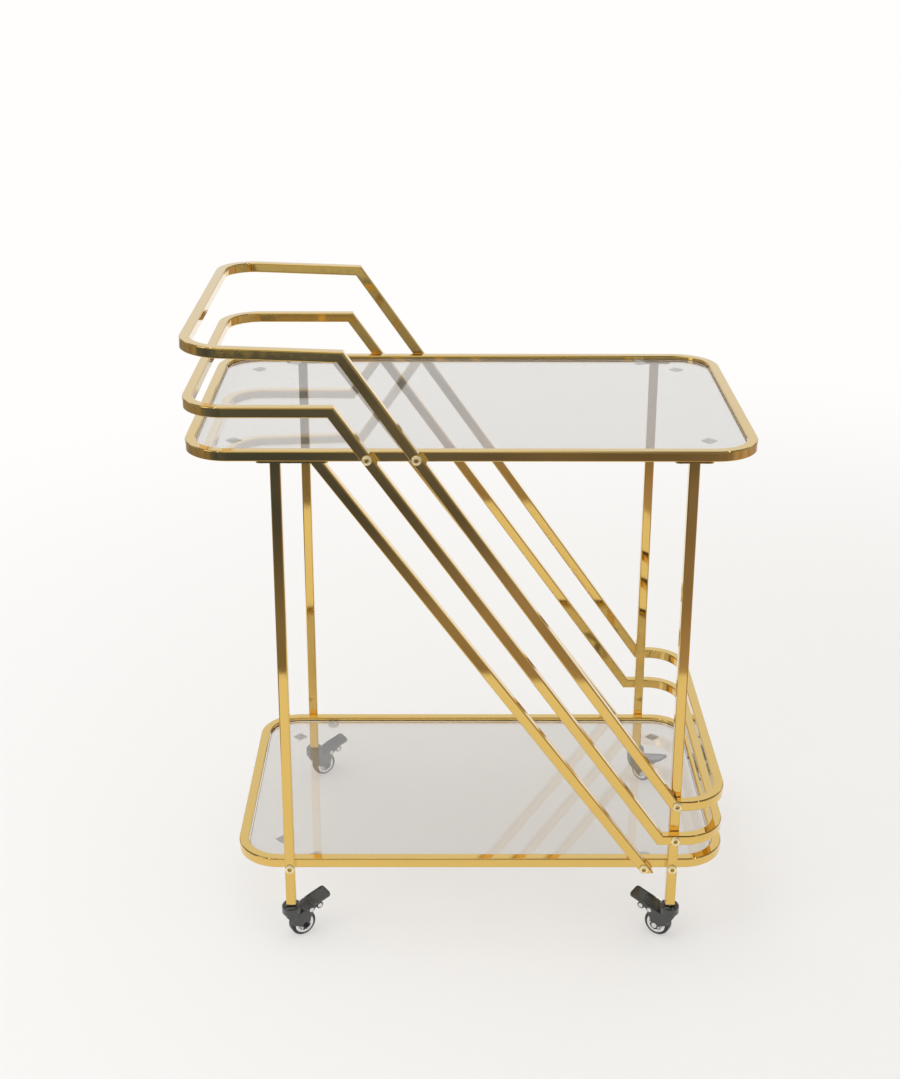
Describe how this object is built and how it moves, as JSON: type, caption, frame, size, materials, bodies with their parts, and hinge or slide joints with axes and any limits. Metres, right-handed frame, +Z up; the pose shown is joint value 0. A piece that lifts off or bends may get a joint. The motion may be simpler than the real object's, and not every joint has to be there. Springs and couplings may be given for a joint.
{
  "type": "dessert trolley",
  "caption": "Serving trolley with a square-tube frame, glass shelves, slanted struts bent into handle hoops and guard rails, and braked swivel casters.",
  "frame": {"origin": "on the floor, at the middle of the whole part's box seen from above", "axes": "+X to the right along the shelves, from the handle hoops towards the guard rails; +Z up; -Y the front"},
  "size_m": [0.75, 0.5006, 0.8803],
  "materials": {
    "gold_plate": "mirror-bright gold plating on steel tube",
    "smoked_glass": "clear polished, lightly smoked",
    "clear_pad": "clear soft discs",
    "grey_pad": "matte grey",
    "insert_plastic": "moulded, matte",
    "plain_steel": "zinc-plated",
    "black_steel": "black oxide",
    "black_plastic": "moulded, glossy",
    "black_tyre": "smooth solid tyre",
    "bright_hub": "chromed",
    "bright_rivet": "polished"
  },
  "bodies": {
    "root": {"top_frame": "gold_plate", "bottom_frame": "gold_plate", "top_glass": "smoked_glass", "bottom_glass": "smoked_glass", "top_glass_tabs": "gold_plate", "top_glass_pads": "clear_pad", "bottom_glass_tabs": "gold_plate", "bottom_glass_pads": "clear_pad", "glass_spacers": "grey_pad", "fixing_plates": "gold_plate", "plate_screws": "gold_plate", "frame_screws": "gold_plate", "upper_handle_hoop": "gold_plate", "lower_handle_hoop": "gold_plate", "upper_guard_rail": "gold_plate", "lower_guard_rail": "gold_plate", "upper_strut_front": "gold_plate", "upper_strut_rear": "gold_plate", "lower_strut_front": "gold_plate", "lower_strut_rear": "gold_plate", "brace_front": "gold_plate", "brace_rear": "gold_plate", "leg_front_left": "gold_plate", "leg_front_right": "gold_plate", "leg_rear_left": "gold_plate", "leg_rear_right": "gold_plate", "leg_inserts": "insert_plastic", "caster_stem_front_left": "plain_steel", "caster_stem_front_right": "plain_steel", "caster_stem_rear_left": "plain_steel", "caster_stem_rear_right": "plain_steel"},
    "swivel_front_left": {"caster_housing_front_left": "black_plastic", "caster_axle_front_left": "black_steel", "pedal_pin_front_left": "bright_rivet"},
    "wheel_front_left": {"caster_tyre_front_left": "black_tyre", "caster_hub_front_left": "bright_hub"},
    "pedal_front_left": {"brake_pedal_front_left": "black_plastic", "brake_rivet_front_left": "bright_rivet"},
    "swivel_front_right": {"caster_housing_front_right": "black_plastic", "caster_axle_front_right": "black_steel", "pedal_pin_front_right": "bright_rivet"},
    "wheel_front_right": {"caster_tyre_front_right": "black_tyre", "caster_hub_front_right": "bright_hub"},
    "pedal_front_right": {"brake_pedal_front_right": "black_plastic", "brake_rivet_front_right": "bright_rivet"},
    "swivel_rear_left": {"caster_housing_rear_left": "black_plastic", "caster_axle_rear_left": "black_steel", "pedal_pin_rear_left": "bright_rivet"},
    "wheel_rear_left": {"caster_tyre_rear_left": "black_tyre", "caster_hub_rear_left": "bright_hub"},
    "pedal_rear_left": {"brake_pedal_rear_left": "black_plastic", "brake_rivet_rear_left": "bright_rivet"},
    "swivel_rear_right": {"caster_housing_rear_right": "black_plastic", "caster_axle_rear_right": "black_steel", "pedal_pin_rear_right": "bright_rivet"},
    "wheel_rear_right": {"caster_tyre_rear_right": "black_tyre", "caster_hub_rear_right": "bright_hub"},
    "pedal_rear_right": {"brake_pedal_rear_right": "black_plastic", "brake_rivet_rear_right": "bright_rivet"}
  },
  "joints": [
    {"name": "caster_swivel_front_left", "type": "hinge", "parent": "root", "child": "swivel_front_left", "pos_m": [-0.252, -0.22612, 0.05], "axis": [0, 0, 1], "continuous": true},
    {"name": "wheel_spin_front_left", "type": "hinge", "parent": "swivel_front_left", "child": "wheel_front_left", "pos_m": [-0.23858, -0.21741, 0.019], "axis": [-0.5446, 0.8387, 0], "continuous": true},
    {"name": "brake_press_front_left", "type": "hinge", "parent": "swivel_front_left", "child": "pedal_front_left", "pos_m": [-0.23103, -0.2125, 0.0415], "axis": [-0.5446, 0.8387, 0], "range_deg": [0, 18]},
    {"name": "caster_swivel_front_right", "type": "hinge", "parent": "root", "child": "swivel_front_right", "pos_m": [0.285, -0.22612, 0.05], "axis": [0, 0, 1], "continuous": true},
    {"name": "wheel_spin_front_right", "type": "hinge", "parent": "swivel_front_right", "child": "wheel_front_right", "pos_m": [0.27158, -0.21741, 0.019], "axis": [-0.5446, -0.8387, 0], "continuous": true},
    {"name": "brake_press_front_right", "type": "hinge", "parent": "swivel_front_right", "child": "pedal_front_right", "pos_m": [0.26403, -0.2125, 0.0415], "axis": [-0.5446, -0.8387, 0], "range_deg": [0, 18]},
    {"name": "caster_swivel_rear_left", "type": "hinge", "parent": "root", "child": "swivel_rear_left", "pos_m": [-0.252, 0.20988, 0.05], "axis": [0, 0, 1], "continuous": true},
    {"name": "wheel_spin_rear_left", "type": "hinge", "parent": "swivel_rear_left", "child": "wheel_rear_left", "pos_m": [-0.23858, 0.21859, 0.019], "axis": [-0.5446, 0.8387, 0], "continuous": true},
    {"name": "brake_press_rear_left", "type": "hinge", "parent": "swivel_rear_left", "child": "pedal_rear_left", "pos_m": [-0.23103, 0.2235, 0.0415], "axis": [-0.5446, 0.8387, 0], "range_deg": [0, 18]},
    {"name": "caster_swivel_rear_right", "type": "hinge", "parent": "root", "child": "swivel_rear_right", "pos_m": [0.285, 0.20988, 0.05], "axis": [0, 0, 1], "continuous": true},
    {"name": "wheel_spin_rear_right", "type": "hinge", "parent": "swivel_rear_right", "child": "wheel_rear_right", "pos_m": [0.29631, 0.19857, 0.019], "axis": [0.7071, 0.7071, 0], "continuous": true},
    {"name": "brake_press_rear_right", "type": "hinge", "parent": "swivel_rear_right", "child": "pedal_rear_right", "pos_m": [0.30268, 0.1922, 0.0415], "axis": [0.7071, 0.7071, 0], "range_deg": [0, 18]}
  ]
}
